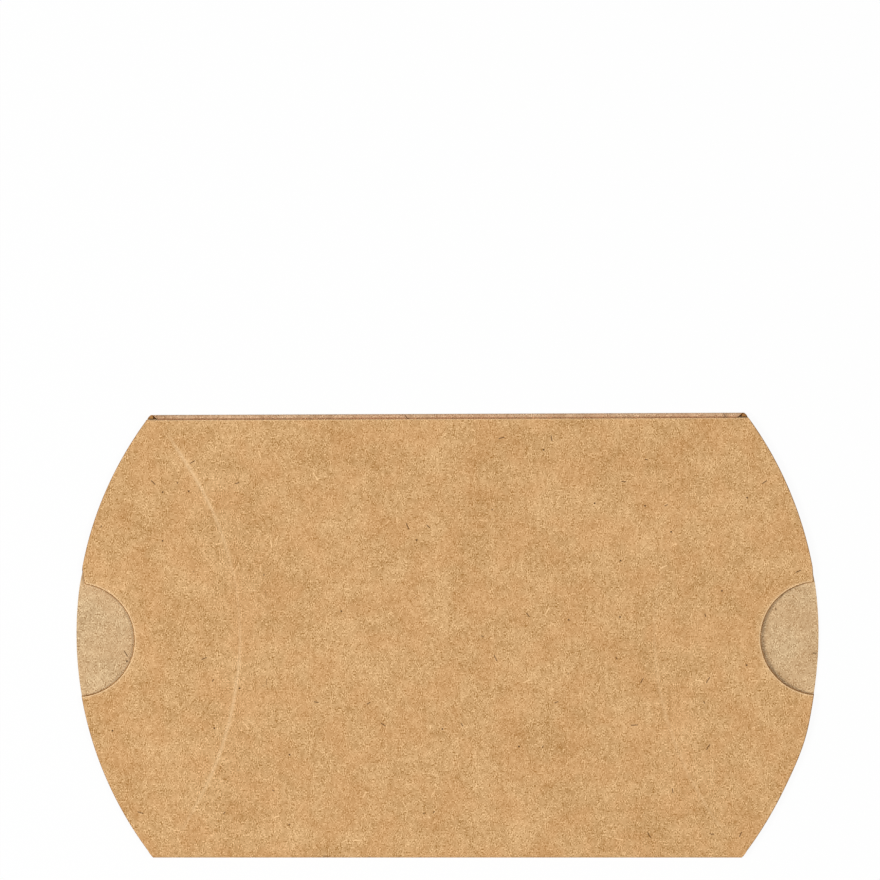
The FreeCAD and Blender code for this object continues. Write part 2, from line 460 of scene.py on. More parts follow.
@dataclass(frozen=True)
class KraftFace:
    """The finish of one face of kraft card: fibres, clouds, specks, worn edges with a painted highlight, and
    scores.

    Scales count features to a millimetre. A range gives the two ends of a soft step.
    """

    name: str
    dark: Colour = (155, 106, 40)
    pale: Colour = (255, 212, 158)
    warm: Colour = (211, 148, 92)
    # Colour of bare fibres at scores and worn edges; at worn edges it also paints a highlight.
    bare: Colour = (250, 215, 168)
    fleck: Colour = (74, 40, 8)
    shift: float = 0.0
    shift_slant: float = 0.6
    apart: tuple[float, float, float] = (43.0, 17.0, 0.0)
    grain_way: tuple[float, float, float] = (1.2, 0.8, 1.0)
    middle_tone: float = 0.455
    fine: float = 0.92
    fine_scale: float = 5.2
    fine_roughness: float = 0.6
    coarseness: float = 18.0
    patchiness: float = 2.0
    patchy_scale: float = 1.3
    patchy_range: tuple[float, float] = (-0.3, 0.3)
    middling: float = 0.5
    middling_scale: float = 1.3
    patch: float = 0.257
    patch_scale: float = 0.32
    cloud: float = 0.19
    cloud_scale: float = 0.09
    dark_fibre: float = 0.14
    dark_fibres: Fibres = Fibres(scale=1.1)
    pale_fibre: float = 0.1
    pale_fibres: Fibres = Fibres(scale=1.3)
    dark_hair: float = 0.82
    dark_hairs: Hairs = Hairs(scale=0.3, half_length=0.62, half_width=0.08, empty=0.92)
    pale_hair: float = 0.43
    pale_hairs: Hairs = Hairs(scale=0.29, half_length=0.8, half_width=0.1, empty=0.9)
    speck: float = 0.9
    speck_scale: float = 0.26
    speck_range: tuple[float, float] = (0.042, 0.028)
    speck_chance: tuple[float, float] = (0.92, 0.96)
    warm_share: float = 0.22
    warm_scale: float = 0.2
    warm_range: tuple[float, float] = (-0.16, 0.2)
    score_share: float = 0.42
    worn_share: float = 0.85
    relief: float = 0.15
    hair_relief: float = 0.6
    speck_relief: float = 0.5
    roughness: float = 0.9
    fine_roughening: float = 0.3
    specular: float = 0.2

    def material(self) -> bpy.types.Material:
        """Make the material.

        Returns:
            The finish as a node material.
        """
        finish = NodeMaterial(self.name)
        make = finish.make
        on_card = make.node("ShaderNodeUVMap", {"uv_map": REST_MAP})
        moved = (self.shift, self.shift_slant * self.shift, 0.0)
        place = make.vector("MULTIPLY_ADD", on_card, IN_MM, moved)
        far = make.vector("ADD", place, self.apart)
        drawn_out = make.vector("MULTIPLY", place, self.grain_way)

        even = make.noise(drawn_out, self.fine_scale, detail=1.0, roughness=self.fine_roughness)
        fibrous = make.step(make.noise(far, self.patchy_scale, detail=1.0), *self.patchy_range)
        uneven = 1 + self.patchiness * (fibrous - 0.5)
        fine = even * (1 + self.coarseness * even * even) * uneven
        pale_hair = self.pale_hairs.draw(make, far)
        tone = self.middle_tone + self.fine * fine
        tone = tone + self.middling * make.noise(drawn_out, self.middling_scale, detail=2.0)
        tone = tone + self.patch * make.noise(place, self.patch_scale, detail=1.0)
        tone = tone + self.cloud * make.noise(place, self.cloud_scale, detail=1.0)
        tone = tone - self.dark_fibre * self.dark_fibres.draw(make, place)
        tone = tone + self.pale_fibre * self.pale_fibres.draw(make, far)
        tone = tone + self.pale_hair * pale_hair

        cells = make.cells(far, self.speck_scale)
        chosen = make.node("ShaderNodeSeparateColor", None, {"Color": cells.other("Color")})
        speck = make.step(cells, *self.speck_range) * make.step(chosen, *self.speck_chance)
        flecked = self.dark_hair * self.dark_hairs.draw(make, place) + self.speck * speck
        warm = make.step(make.noise(far, self.warm_scale, detail=2.0), *self.warm_range)
        score, worn = (
            make.node("ShaderNodeAttribute", {"attribute_name": mark}, None, "Fac")
            for mark in (SCORE, WORN_AND_HIGHLIGHT)
        )
        colour = make.mix(tone, linear(self.dark), linear(self.pale))
        for share, over in (
            (self.warm_share * warm, self.warm),
            (flecked, self.fleck),
            (self.score_share * score, self.bare),
            # Worn edges: bare fibres, and a painted highlight along the notch rims and the raw edge.
            (self.worn_share * worn, self.bare),
        ):
            colour = make.mix(share, colour, linear(over))
        height = fine + self.hair_relief * pale_hair - self.speck_relief * speck
        return finish.feed(
            {
                "Base Color": colour,
                "Roughness": self.roughness + self.fine_roughening * fine,
                "Normal": make.bump(height, self.relief),
                "Specular IOR Level": self.specular,
            }
        )


@dataclass(frozen=True)
class CutEdge:
    """The finish of a die-cut edge, where the pale core of the card shows in thin layers."""

    name: str = "kraft_cut_edge"
    dark: Colour = (138, 92, 46)
    pale: Colour = (198, 146, 86)
    scale_along: float = 0.9
    scale_through: float = 9.0
    layer_range: tuple[float, float] = (0.25, 0.75)
    relief: float = 0.3
    roughness: float = 0.9
    specular: float = 0.2

    def material(self) -> bpy.types.Material:
        """Make the material.

        Returns:
            The finish as a node material.
        """
        finish = NodeMaterial(self.name)
        make = finish.make
        place = make.node("ShaderNodeTexCoord", None, None, "Object")
        scales = (self.scale_along / MM, self.scale_along / MM, self.scale_through / MM)
        layered = {"Vector": make.vector("MULTIPLY", place, scales), "Scale": 1.0, "Detail": 2.0}
        layers = make.node("ShaderNodeTexNoise", None, layered)
        share = make.step(layers, *self.layer_range)
        return finish.feed(
            {
                "Base Color": make.mix(share, linear(self.dark), linear(self.pale)),
                "Normal": make.bump(layers, self.relief),
                "Roughness": self.roughness,
                "Specular IOR Level": self.specular,
            }
        )


@dataclass(frozen=True)
class DriedGlue:
    """The finish of the dried film of paper glue."""

    name: str = "dried_glue"
    thin: Colour = (190, 160, 116)
    thick: Colour = (222, 205, 168)
    streak_scale: float = 0.5
    middle_tone: float = 0.5
    contrast: float = 1.4
    roughness: float = 0.4
    roughening: float = 0.5

    def material(self) -> bpy.types.Material:
        """Make the material.

        Returns:
            The finish as a node material.
        """
        finish = NodeMaterial(self.name)
        make = finish.make
        on_card = make.node("ShaderNodeUVMap", {"uv_map": REST_MAP})
        place = make.vector("MULTIPLY", on_card, IN_MM)
        streaks = make.noise(place, self.streak_scale, detail=3.0)
        share = self.middle_tone + self.contrast * streaks
        colour = make.mix(share, linear(self.thin), linear(self.thick))
        rough = self.roughness + self.roughening * streaks
        return finish.feed({"Base Color": colour, "Roughness": rough})


@dataclass(frozen=True)
class CardFinishes:
    """The three finishes of one stretch of card."""

    outside: bpy.types.Material
    inside: bpy.types.Material
    cut: bpy.types.Material


@dataclass
class DrawnSheet:
    """A drawn stretch of card: matching points of its inside and outside, in rows."""

    name: str
    inside: np.ndarray
    outside: np.ndarray
    rest: np.ndarray
    score: np.ndarray | None = None
    worn: np.ndarray | None = None

    def mesh(self) -> bpy.types.Mesh:
        """Make the inside face as a mesh that faces the outside.

        Returns:
            A grid with the way to the outside, the score, and the wear with its painted highlight at each
            point.
        """
        rows, columns = self.inside.shape[:2]
        at = np.arange(rows * columns).reshape(rows, columns)
        quads = np.stack([at[:-1, :-1], at[:-1, 1:], at[1:, 1:], at[1:, :-1]], -1).reshape(-1, 4)
        points = self.inside.reshape(-1, 3)
        way = (self.outside - self.inside).reshape(-1, 3)
        first = points[quads[len(quads) // 2]]
        facing = np.cross(first[2] - first[0], first[3] - first[1])
        if facing @ way[quads[len(quads) // 2][0]] < 0:
            quads = quads[:, ::-1]
        mesh = bpy.data.meshes.new(self.name)
        mesh.from_pydata(points.tolist(), [], quads.tolist())
        moves = mesh.attributes.new(TO_OUTSIDE, "FLOAT_VECTOR", "POINT")
        moves.data.foreach_set("vector", way.astype(np.float32).ravel())
        for name, values in ((SCORE, self.score), (WORN_AND_HIGHLIGHT, self.worn)):
            marks = mesh.attributes.new(name, "FLOAT", "POINT")
            if values is not None:
                marks.data.foreach_set("value", values.astype(np.float32).ravel())
        corners = np.zeros(len(mesh.loops), np.int32)
        mesh.loops.foreach_get("vertex_index", corners)
        places = mesh.uv_layers.new(name=REST_MAP)
        places.uv.foreach_set("vector", self.rest.reshape(-1, 2)[corners].astype(np.float32).ravel())
        return mesh


class CardStock:
    """Gives a drawn sheet its thickness, its cut edges and its finishes, by Geometry Nodes."""

    INPUTS = {
        "Drawn sheet": "NodeSocketGeometry",
        "Thickness share": "NodeSocketFloat",
        "Weld distance": "NodeSocketFloat",
        "Outside": "NodeSocketMaterial",
        "Inside": "NodeSocketMaterial",
        "Cut edge": "NodeSocketMaterial",
    }
    WELD = 0.001 * MM
    SHARP = math.radians(28)

    def __init__(self) -> None:
        """Build the node tree."""
        self.tree = bpy.data.node_groups.new("card_stock", "GeometryNodeTree")
        for name, kind in self.INPUTS.items():
            self.tree.interface.new_socket(name, in_out="INPUT", socket_type=kind)
        self.tree.interface.new_socket("Card", in_out="OUTPUT", socket_type="NodeSocketGeometry")
        make = NodeMaker(self.tree)
        given = make.node("NodeGroupInput")
        sheet = given.other("Drawn sheet")
        way = make.node(
            "GeometryNodeInputNamedAttribute", {"data_type": "FLOAT_VECTOR"}, {"Name": TO_OUTSIDE}
        )
        scaled = {"Vector": way, "Scale": given.other("Thickness share")}
        way = make.node("ShaderNodeVectorMath", {"operation": "SCALE"}, scaled)
        walls = make.node(
            "GeometryNodeExtrudeMesh",
            {"mode": "FACES"},
            {"Mesh": sheet, "Offset Scale": 0.0, "Individual": False},
        )
        raised = make.node(
            "GeometryNodeSetPosition",
            None,
            {"Geometry": walls, "Selection": walls.other("Top"), "Offset": way},
        )
        raised = self.marked(make, raised, CUT_FACE, walls.other("Side"))
        under = make.node("GeometryNodeFlipFaces", None, {"Mesh": sheet})
        under = self.marked(make, under, INSIDE_FACE, True)
        whole = make.node("GeometryNodeJoinGeometry", None, {"Geometry": [raised, under]})
        weld = {"Geometry": whole, "Distance": given.other("Weld distance")}
        card = make.node("GeometryNodeMergeByDistance", None, weld)
        card = make.node("GeometryNodeRealizeInstances", None, {"Geometry": card})
        for finish, mark in (("Outside", None), ("Inside", INSIDE_FACE), ("Cut edge", CUT_FACE)):
            sockets = {"Geometry": card, "Material": given.other(finish)}
            if mark:
                sockets["Selection"] = make.node(
                    "GeometryNodeInputNamedAttribute", {"data_type": "BOOLEAN"}, {"Name": mark}
                )
            card = make.node("GeometryNodeSetMaterial", None, sockets)
        make.node("NodeGroupOutput", None, {"Card": card})

    @staticmethod
    def marked(make: NodeMaker, geometry: Socket, name: str, value: Any) -> Socket:
        """Note a true or false value on each face.

        Args:
            make: The tree's node maker.
            geometry: What is marked.
            name: The mark's name.
            value: The value or field that is noted.

        Returns:
            The marked geometry.
        """
        settings = {"data_type": "BOOLEAN", "domain": "FACE"}
        sockets = {"Geometry": geometry, "Name": name, "Value": value}
        return make.node("GeometryNodeStoreNamedAttribute", settings, sockets)

    def cut(self, sheet: DrawnSheet, finishes: CardFinishes) -> bpy.types.Object:
        """Make a finished piece of card from a drawn sheet.

        Args:
            sheet: The drawn sheet.
            finishes: Its three finishes.

        Returns:
            The piece, a plain closed mesh at the origin.
        """
        drawn = bpy.data.objects.new(f"{sheet.name}_drawn", sheet.mesh())
        bpy.context.scene.collection.objects.link(drawn)
        stock = drawn.modifiers.new("card_stock", "NODES")
        stock.node_group = self.tree
        values = {
            "Thickness share": 1.0,
            "Weld distance": self.WELD,
            "Outside": finishes.outside,
            "Inside": finishes.inside,
            "Cut edge": finishes.cut,
        }
        for item in self.tree.interface.items_tree:
            if item.in_out == "INPUT" and item.name in values:
                stock[item.identifier] = values[item.name]
        bpy.context.view_layer.update()
        seen = drawn.evaluated_get(bpy.context.evaluated_depsgraph_get())
        mesh = bpy.data.meshes.new_from_object(seen)
        bpy.data.objects.remove(drawn)
        for name in (TO_OUTSIDE, INSIDE_FACE, CUT_FACE):
            mesh.attributes.remove(mesh.attributes[name])
        mesh.name = sheet.name
        mesh.shade_smooth()
        mesh.set_sharp_from_angle(angle=self.SHARP)
        piece = bpy.data.objects.new(sheet.name, mesh)
        bpy.context.scene.collection.objects.link(piece)
        return piece


@dataclass(frozen=True)
class Bow:
    """The bowed line that a sheet takes when the box is made up.

    A sheet turns smoothly about the frame's hinge lines. The reaches, in band widths, are those with
    which two neighbouring stretches meet at the middle of a band with the same slope.
    """

    first_line: float
    second_line: float
    fold_line: float
    bend: float
    INNER_REACH = (1 + math.sqrt(3)) / 2
    EDGE_REACH = 3 * INNER_REACH / (INNER_REACH + 0.5) - 1

    @classmethod
    def from_frame(cls) -> "Bow":
        """Read the lines and the bend from the frame's joints."""
        return cls(
            first_line=joint("front_panel_bend_3_4")["pos_m"][1],
            second_line=joint("front_panel_bend_4_5")["pos_m"][1],
            fold_line=-joint("bottom_fold_opening")["pos_m"][1],
            bend=travel("front_panel_bend_3_4"),
        )

    @property
    def band(self) -> float:
        """Width of a band between two hinge lines."""
        return self.second_line - self.first_line

    @property
    def seam(self) -> float:
        """Distance from the middle to where an inner stretch meets an edge stretch."""
        return (self.first_line + self.second_line) / 2

    def turn(self, stretch: Stretch) -> tuple[float, float]:
        """Give the lines between which a stretch turns.

        Args:
            stretch: Which stretch of a sheet.

        Returns:
            Y where the turn starts and where it ends.
        """
        inner, edge = self.INNER_REACH * self.band, self.EDGE_REACH * self.band
        return {
            Stretch.LOWER_EDGE: (-self.fold_line, edge - self.second_line),
            Stretch.LOWER_MIDDLE: (-self.first_line - inner, inner - self.first_line),
            Stretch.UPPER_MIDDLE: (self.first_line - inner, self.first_line + inner),
            Stretch.UPPER_EDGE: (self.second_line - edge, self.fold_line),
        }[stretch]

    def drop(self, y: np.ndarray) -> np.ndarray:
        """Give how far the made-up sheet's outside falls behind its middle band's face.

        Args:
            y: Places across the flat sheet.

        Returns:
            The fall at each place.
        """
        across = np.abs(y)
        start, end = self.turn(Stretch.UPPER_MIDDLE)
        angle = self.bend * smooth((across - start) / (end - start))
        near = (across - self.first_line) * np.sin(angle)
        start, end = self.turn(Stretch.UPPER_EDGE)
        angle = self.bend * smooth((across - start) / (end - start))
        along = self.band + (across - self.second_line) * np.cos(angle)
        behind = (across - self.second_line) * np.sin(angle)
        far = along * math.sin(self.bend) + behind * math.cos(self.bend)
        return np.where(across <= self.seam, near, far)


@dataclass(frozen=True)
class Outline:
    """The die-cut outline of the box and its creases, for the right-hand end."""

    bow: Bow
    tip: float
    rim_radius: float = 55.1 * MM
    rim_y: float = 0.3 * MM
    fullness: float = 0.0
    fullness_y: float = -16.0 * MM
    fullness_width: float = 5.0 * MM
    notch_radius: float = 8.78 * MM
    notch_height: float = 0.97
    notch_y: float = 0.0
    raw_edge: float = 32.9 * MM
    card: float = 0.4 * MM
    mitre: float = 0.43 * MM
    stack: float = 1.3 * MM
    ear_start: float = 32.5 * MM
    ear_end: float = 32.9 * MM
    ear_rows: int = 4
    ear_search: int = 400
    narrowest: float = 0.06 * MM
    skew: float = 0.004
    point_spacing: float = 0.55 * MM
    slope_step: float = 0.01 * MM
    turned_length: float = 2.3 * MM
    corner_angles: tuple[float, float] = (60.0, 89.9)
    corner_search: int = 3000
    closing_play: float = 0.03 * MM
    side_play_cards: float = 1.5
    notch_margin: float = 1.8 * MM
    notch_margin_fade: float = 2.0 * MM
    tab_wide_end: float = 44.0 * MM

    @property
    def rim_centre(self) -> float:
        """X of the rim arc's centre."""
        return self.tip - self.rim_radius

    def rim(self, y: np.ndarray) -> np.ndarray:
        """X of the rim at each Y, an arc that may be a little fuller below the notch."""
        fuller = self.fullness * bell(y - self.fullness_y, self.fullness_width)
        return self.rim_centre + np.sqrt(self.rim_radius**2 - (y - self.rim_y) ** 2) + fuller

    def crease(self, layer: Layer, y: np.ndarray) -> np.ndarray:
        """Give the line along which a flap folds.

        The panel and the flap bow in opposite senses, so their edges stay together along the line
        that the bow itself draws.

        Args:
            layer: Which sheet.
            y: Places along the crease.

        Returns:
            X of the crease at each place.
        """
        name = f"{layer.word}_right_flap_crease"
        slant = math.tan(travel(name) / 2)
        return joint(name)["pos_m"][0] + self.bow.drop(y) / slant

    def fold_edge(self, layer: Layer, y: np.ndarray) -> np.ndarray:
        """X of the panel's end at each Y, which follows the crease and runs out into the corner."""
        line = self.crease(layer, y)
        return line + self.into_ear(y) * (self.rim(y) - line)

    def folded(self, flat: np.ndarray) -> np.ndarray:
        """X and Y of flat points in the box, whose seam is folded a little askew."""
        near = smooth((flat[..., 1] - self.bow.seam) / (self.bow.fold_line - self.bow.seam))
        return np.stack([flat[..., 0], flat[..., 1] + self.skew * near * flat[..., 0]], -1)

    def into_ear(self, y: np.ndarray) -> np.ndarray:
        """Share of the way from the crease to the rim that the panel's end takes at each Y."""
        return np.clip((np.abs(y) - self.ear_start) / (self.ear_end - self.ear_start), 0, 1)

    def flap_end(self, layer: Layer, sign: int) -> float:
        """Find where a flap runs out beside the corner.

        Args:
            layer: Which sheet.
            sign: Whether the upper or the lower corner is meant.

        Returns:
            Y of the flap's end.
        """
        y = sign * np.linspace(self.ear_start, self.ear_end, self.ear_search)
        rim = self.rim(y) if layer is Layer.FRONT else self.inner_rim(y)
        return float(y[rim - self.fold_edge(layer, y) > self.narrowest][-1])

    def slope_stretch(self, layer: Layer, y: np.ndarray) -> np.ndarray:
        """Give how much longer a width is along X than square to the crease.

        Args:
            layer: Which sheet.
            y: Places along the crease.

        Returns:
            The lengthening at each place.
        """
        step = self.slope_step
        rise = (self.crease(layer, y + step) - self.crease(layer, y - step)) / (2 * step)
        return np.sqrt(1 + rise**2)

    def inner_rim(self, y: np.ndarray) -> np.ndarray:
        """Give the back flap's rim, cut back beside the notch so that it closes under the front panel.

        Args:
            y: Places along the rim.

        Returns:
            X of the back flap's rim at each place.
        """
        gap = self.stack * math.cos(2 * self.bow.bend)
        fold_drop = self.bow.drop(np.array(self.bow.fold_line))
        room = 2 * (fold_drop - self.bow.drop(y)) + gap
        from_notch = np.abs(y - self.notch_y) - self.notch_radius - self.notch_margin
        beside = smooth(from_notch / self.notch_margin_fade)
        play = self.closing_play + self.side_play_cards * self.card * beside
        return np.minimum(self.rim(y), self.crease(Layer.BACK, y) + room - play)

    def notch_corner(self, upper: bool, turned: float) -> float:
        """Find where the notch meets the rim.

        Args:
            upper: Whether the upper corner is meant.
            turned: How far the card's corner is turned in from the rim.

        Returns:
            The angle on the notch, from its deepest point.
        """
        degrees = np.linspace(*self.corner_angles, self.corner_search)
        angles = np.radians(degrees) * (1 if upper else -1)
        x = self.tip - self.notch_radius * np.cos(angles)
        y = self.notch_y + self.notch_height * self.notch_radius * np.sin(angles)
        return float(angles[np.argmin(np.abs(self.rim(y) - turned - x))])

    def notched_path(self, upper: bool, turned: float) -> tuple[np.ndarray, np.ndarray, np.ndarray]:
        """Give a front flap's cut line from its middle to the seam above or below, upwards.

        Args:
            upper: Whether the upper half is meant.
            turned: How far the card's corner by the notch is turned in from the rim.

        Returns:
            The points of the line, at each point the way out of the card, and the notch's share.
        """
        corner = self.notch_corner(upper, turned)
        middle = math.asin(-self.notch_y / (self.notch_height * self.notch_radius))
        steps = round(abs(corner - middle) * self.notch_radius / self.point_spacing)
        angle = np.linspace(middle, corner, steps + 1)
        arc = np.stack(
            [
                self.tip - self.notch_radius * np.cos(angle),
                self.notch_y + self.notch_height * self.notch_radius * np.sin(angle),
            ],
            -1,
        )
        arc_way = (np.array([self.tip, self.notch_y]) - arc) / self.notch_radius
        far = self.bow.seam if upper else -self.bow.seam
        steps = round(abs(far - arc[-1, 1]) / self.point_spacing)
        y = np.linspace(arc[-1, 1], far, steps + 1)
        fade = np.clip(1 - np.abs(y - y[0]) / self.turned_length, 0, 1)
        edge = np.stack([self.rim(y) - turned * fade, y], -1)
        edge_way = self.rim_way(edge)
        corner_way = (arc_way[-1] + edge_way[0]) / (1 + arc_way[-1] @ edge_way[0])
        points = np.concatenate([arc, edge[1:]])
        ways = np.concatenate([arc_way[:-1], [corner_way], edge_way[1:]])
        notch = np.concatenate([np.ones(len(arc)), fade[1:] if turned else np.zeros(len(edge) - 1)])
        turn = slice(None, None, 1 if upper else -1)
        return points[turn], ways[turn], notch[turn]

    def rim_way(self, points: np.ndarray) -> np.ndarray:
        """Way out of the card at points of the rim."""
        return (points - np.array([self.rim_centre, self.rim_y])) / self.rim_radius

    def level_sheet(
        self,
        name: str,
        flat: np.ndarray,
        low: float,
        high: float | np.ndarray,
        worn: np.ndarray | None = None,
    ) -> DrawnSheet:
        """Draw a stretch that lies level in the flat box.

        Args:
            name: The piece's name.
            flat: X and Y of its points, in rows.
            low: Z of its inside.
            high: Z of its outside, for all points or for each.
            worn: The wear with its painted highlight at each point.

        Returns:
            The drawn stretch.
        """
        placed = self.folded(flat)
        inside, outside = (
            np.dstack([placed, np.broadcast_to(z, flat.shape[:2])]) for z in (low, high)
        )
        return DrawnSheet(name, inside, outside, flat, worn=worn)


@dataclass(frozen=True)
class Pressing:
    """How deep and how clear one score line is along its length.

    The levels, in millimetres, are those at which the clearness is given. From the drift's start
    downwards, the score runs more and more inside the fold.
    """

    depth: float
    levels: tuple[float, ...]
    clearness: tuple[float, ...]
    drift: float = 0.0
    drift_start: float = -7.0 * MM
    least_depth: float = 0.35
    end: float = 31.5 * MM
    end_fade: float = 4.0 * MM

    def fade(self, y: np.ndarray) -> np.ndarray:
        """Share of the score that is left at each Y as it runs out towards the corners."""
        return smooth((self.end - np.abs(y)) / self.end_fade)

    def inset(self, y: np.ndarray) -> np.ndarray:
        """How far the score runs inside the fold at each Y."""
        return self.drift * np.maximum(self.drift_start - y, 0)

    def share(self, y: np.ndarray) -> np.ndarray:
        """Clearness of the score at each Y."""
        return self.fade(y) * np.interp(y / MM, self.levels, self.clearness)

    def press(self, y: np.ndarray) -> np.ndarray:
        """Depth of the score at each Y."""
        by_clearness = (1 - self.least_depth) * self.share(y)
        return self.depth * (self.least_depth * self.fade(y) + by_clearness)


@dataclass(frozen=True)
class CardEdges:
    """How card looks close to a score line or a cut.

    The drawn lines beside a score and a cut have their offsets in millimetres. BEYOND is an offset
    that no score or cut reaches.
    """

    score_lines: tuple[float, ...] = (
        *(0.0, 0.07, 0.14, 0.21, 0.28, 0.36, 0.46, 0.56),
        *(0.66, 0.76, 0.86, 0.96, 1.06, 1.18, 1.4),
    )
    cut_lines: tuple[float, ...] = (0.0, 0.04, 0.09, 0.15, 0.22)
    score_width: float = 0.26 * MM
    round_depth: float = 0.05 * MM
    round_width: float = 0.05 * MM
    # The worn band beside a cut is bare fibre and painted highlight.
    worn_width: float = 0.15 * MM
    notch_bevel: float = 0.16 * MM
    rim_bevel: float = 0.11 * MM
    raw_bevel: float = 0.05 * MM
    raw_bevel_run: float = 0.5 * MM
    # Painted highlight on the front's raw edge, together with its wear.
    raw_wear: float = 0.6
    tuck: float = 0.012 * MM
    tuck_length: float = 0.07 * MM
    BEYOND = 1.0

    @property
    def scores(self) -> np.ndarray:
        """Offsets of the lines beside a score, in metres."""
        return np.array(self.score_lines) * MM

    @property
    def cuts(self) -> np.ndarray:
        """Offsets of the lines beside a cut, in metres."""
        return np.array(self.cut_lines) * MM

    def groove(self, offset: np.ndarray) -> np.ndarray:
        """Share of a score's depth, and of its stretched fibres, at an offset from its line."""
        return bell(offset, self.score_width)

    def rounding(self, offset: np.ndarray) -> np.ndarray:
        """Fall of the face at an offset from a cut."""
        return self.round_depth * bell(offset, self.round_width)

    def wear(self, offset: np.ndarray) -> np.ndarray:
        """Share of bare fibres and painted highlight at an offset from a cut."""
        return bell(offset, self.worn_width)


@dataclass
class CardSheet:
    """What panels and flaps share: one layer of card, cut into stretches that bend with the frame."""

    outline: Outline
    edges: CardEdges
    layer: Layer
    finishes: CardFinishes

    @property
    def prefix(self) -> str:
        """The start of the names of its bodies and pieces."""
        raise NotImplementedError

    @property
    def faces(self) -> tuple[float, float]:
        """Z of the outside and of the inside."""
        low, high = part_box(f"{self.layer.word}_panel_band_3")
        return (high.z, low.z) if self.layer is Layer.FRONT else (low.z, high.z)

    @property
    def top(self) -> float:
        """Y of the sheet's upper limit: the front's raw edge, or the back's fold."""
        return self.outline.raw_edge if self.layer is Layer.FRONT else self.outline.bow.fold_line

    def span(self, stretch: Stretch) -> tuple[float, float]:
        """Give the limits of a stretch.

        Args:
            stretch: Which stretch.

        Returns:
            Y of its lower and its upper limit.
        """
        bow = self.outline.bow
        lines = (-bow.fold_line, -bow.seam, 0.0, bow.seam, self.top)
        return lines[stretch.value - 1], lines[stretch.value]

    def levels(self, stretch: Stretch) -> np.ndarray:
        """Give the levels of a stretch's rows.

        Args:
            stretch: Which stretch.

        Returns:
            Y of each row, closer together beside a raw edge and in the corners.
        """
        line = self.outline
        low, high = self.span(stretch)
        if stretch in (Stretch.LOWER_MIDDLE, Stretch.UPPER_MIDDLE):
            return np.linspace(low, high, round((high - low) / line.point_spacing) + 1)
        inner, outer = sorted((low, high), key=abs)
        ear = math.copysign(line.ear_start, outer)
        count = round(abs(ear - inner) / line.point_spacing)
        corner = np.linspace(line.ear_start, line.ear_end, line.ear_rows)
        corner = math.copysign(1.0, outer) * corner
        inside = np.abs(corner) < abs(outer)
        raw = stretch is Stretch.UPPER_EDGE and self.layer is Layer.FRONT
        cuts = high - self.edges.cuts if raw else np.array([outer])
        return np.unique(np.concatenate([np.linspace(inner, ear, count + 1), corner[inside], cuts]))

    def with_tuck(self, stretch: Stretch, y: np.ndarray) -> tuple[np.ndarray, np.ndarray]:
        """Add the two rows that reach under the next stretch, if there is one.

        Args:
            stretch: Which stretch.
            y: Y of its own rows.

        Returns:
            Y of all rows, and for each row 1 if it is tucked under and 0 if not.
        """
        tucked = np.zeros(len(y))
        if stretch is Stretch.UPPER_EDGE:
            return y, tucked
        rows = np.concatenate([y, [y[-1], y[-1] + self.edges.tuck_length]])
        return rows, np.concatenate([tucked, [1.0, 1.0]])

    def lift(self, flat: np.ndarray, fall: np.ndarray, tucked: np.ndarray, outside: bool) -> np.ndarray:
        """Give flat points their height.

        Args:
            flat: X and Y of the points, in rows.
            fall: How far the outside falls behind its plane at each point.
            tucked: Which rows are tucked under the next stretch.
            outside: Whether the points are on the outside.

        Returns:
            The points in space.
        """
        out, inn = self.faces
        tuck = self.edges.tuck * tucked[:, None]
        sign = self.layer.value
        z = out - sign * (fall + tuck) if outside else np.broadcast_to(inn + sign * tuck, fall.shape)
        return np.dstack([self.outline.folded(flat), z])

    def dress(self, piece: bpy.types.Object, stretch: Stretch) -> bpy.types.Object:
        """Let a piece bend with the frame and stand for its CAD nodes.

        Args:
            piece: The piece.
            stretch: Which stretch it is.

        Returns:
            The same piece.
        """
        bodies = [f"{self.prefix}_band_{n}" for n in (stretch.value, stretch.value + 1)]
        start, end = self.outline.bow.turn(stretch)
        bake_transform(piece, bodies[0], bodies[1], start=(0, start, 0), end=(0, end, 0))
        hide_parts(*bodies)
        return piece

    def drawn(self, stretch: Stretch) -> DrawnSheet:
        """Draw one stretch."""
        raise NotImplementedError

    def build(self, stock: CardStock) -> list[bpy.types.Object]:
        """Build all stretches as pieces of card."""
        return [self.dress(stock.cut(self.drawn(s), self.finishes), s) for s in Stretch]


